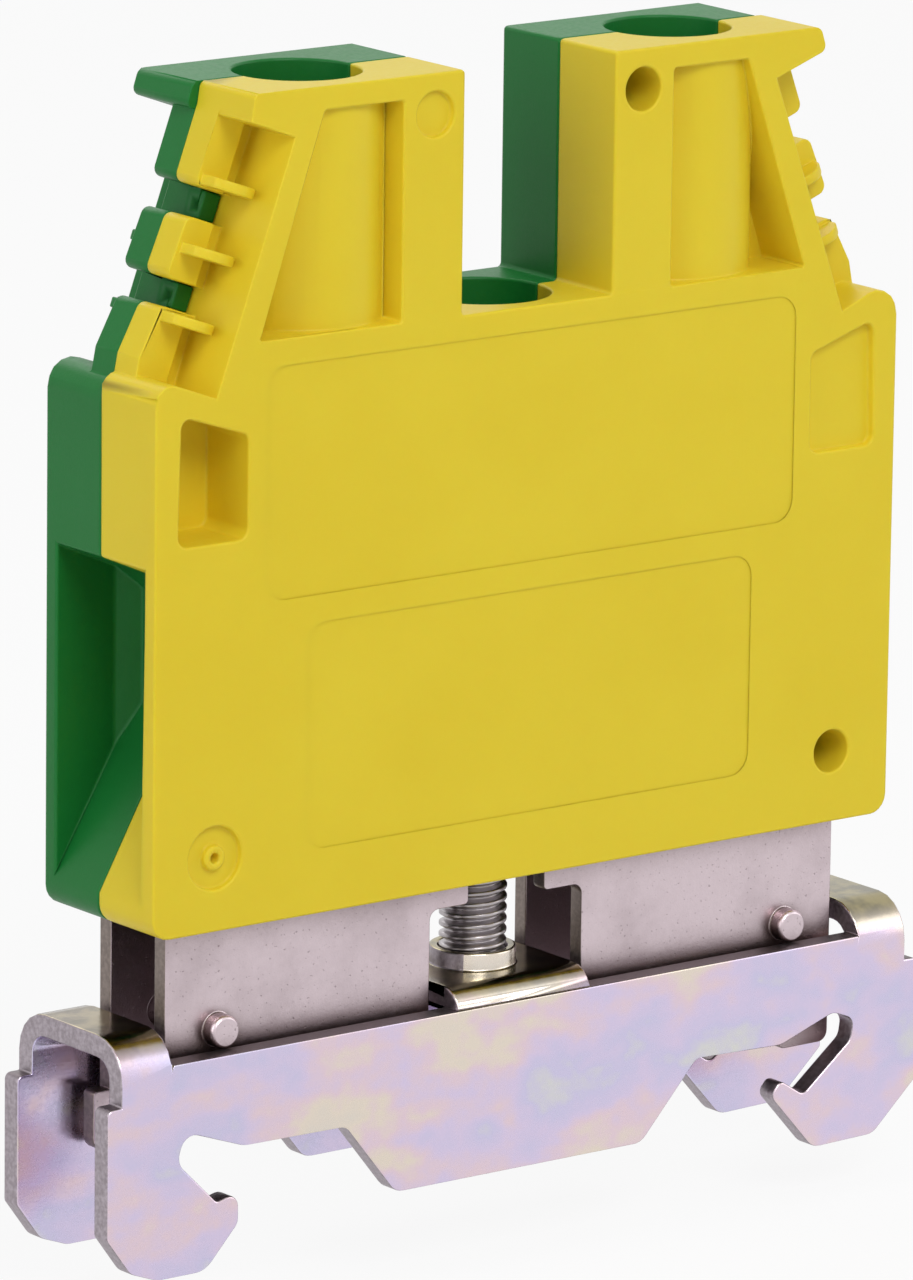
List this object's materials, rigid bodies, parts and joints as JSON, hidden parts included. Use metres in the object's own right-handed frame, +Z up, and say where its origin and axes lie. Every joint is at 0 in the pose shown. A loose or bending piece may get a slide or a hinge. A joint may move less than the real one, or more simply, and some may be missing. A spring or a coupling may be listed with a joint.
{
  "type": "din rail terminal block",
  "caption": "Screw-clamp earth terminal block: two plastic halves of one moulding, yellow and green, over a steel foot that a screw draws up to grip a 35 mm top-hat rail.",
  "frame": {"origin": "middle of the rail's top face, where the earth bracket's legs stand on the rail", "axes": "+X along the block towards the right-hand wire entry, +Y along the rail from the yellow half to the green half, +Z up away from the rail"},
  "size_m": [0.045, 0.008, 0.0512],
  "materials": {
    "yellow_polyamide": "moulded polyamide, fine matt grain",
    "green_polyamide": "moulded polyamide, fine matt grain",
    "nickel_plate": "nickel-plated pressed sheet, fine speckle",
    "tinned_copper": "tinned copper bar",
    "zinc_passivated": "bright zinc plate with a faint iridescent passivation",
    "screw_steel": "dull zinc-plated screw steel",
    "clamp_steel": "zinc-plated hardened steel"
  },
  "bodies": {
    "root": {"front_housing": "yellow_polyamide", "rear_housing": "green_polyamide", "earth_bracket": "nickel_plate", "current_bar": "tinned_copper", "rail_washer": "screw_steel"},
    "foot": {"foot": "zinc_passivated"},
    "rail_screw": {"rail_screw": "screw_steel"},
    "left_clamp_screw": {"left_clamp_screw": "clamp_steel"},
    "right_clamp_screw": {"right_clamp_screw": "clamp_steel"},
    "left_cage": {"left_cage": "clamp_steel"},
    "right_cage": {"right_cage": "clamp_steel"}
  },
  "joints": [
    {"name": "rail_screw_turn", "type": "hinge", "parent": "root", "child": "rail_screw", "pos_m": [0, 0, 0.0268], "axis": [0, 0, 1], "range_deg": [0, 1441]},
    {"name": "foot_travel", "type": "slide", "parent": "root", "child": "foot", "axis": [0, 0, 1], "range_m": [-0.002, 0]},
    {"name": "left_screw_turn", "type": "hinge", "parent": "root", "child": "left_clamp_screw", "pos_m": [-0.0101, 0, 0.0342], "axis": [0, 0, 1], "range_deg": [-2161, 0]},
    {"name": "left_cage_lift", "type": "slide", "parent": "root", "child": "left_cage", "axis": [0, 0, 1], "range_m": [0, 0.0042]},
    {"name": "right_screw_turn", "type": "hinge", "parent": "root", "child": "right_clamp_screw", "pos_m": [0.0101, 0, 0.0342], "axis": [0, 0, 1], "range_deg": [-2161, 0]},
    {"name": "right_cage_lift", "type": "slide", "parent": "root", "child": "right_cage", "axis": [0, 0, 1], "range_m": [0, 0.0042]}
  ],
  "couplings": [
    {"joint": "rail_screw_turn", "follows": "foot_travel", "rad_per_m": -12566},
    {"joint": "left_screw_turn", "follows": "left_cage_lift", "rad_per_m": -8976},
    {"joint": "right_screw_turn", "follows": "right_cage_lift", "rad_per_m": -8976}
  ]
}
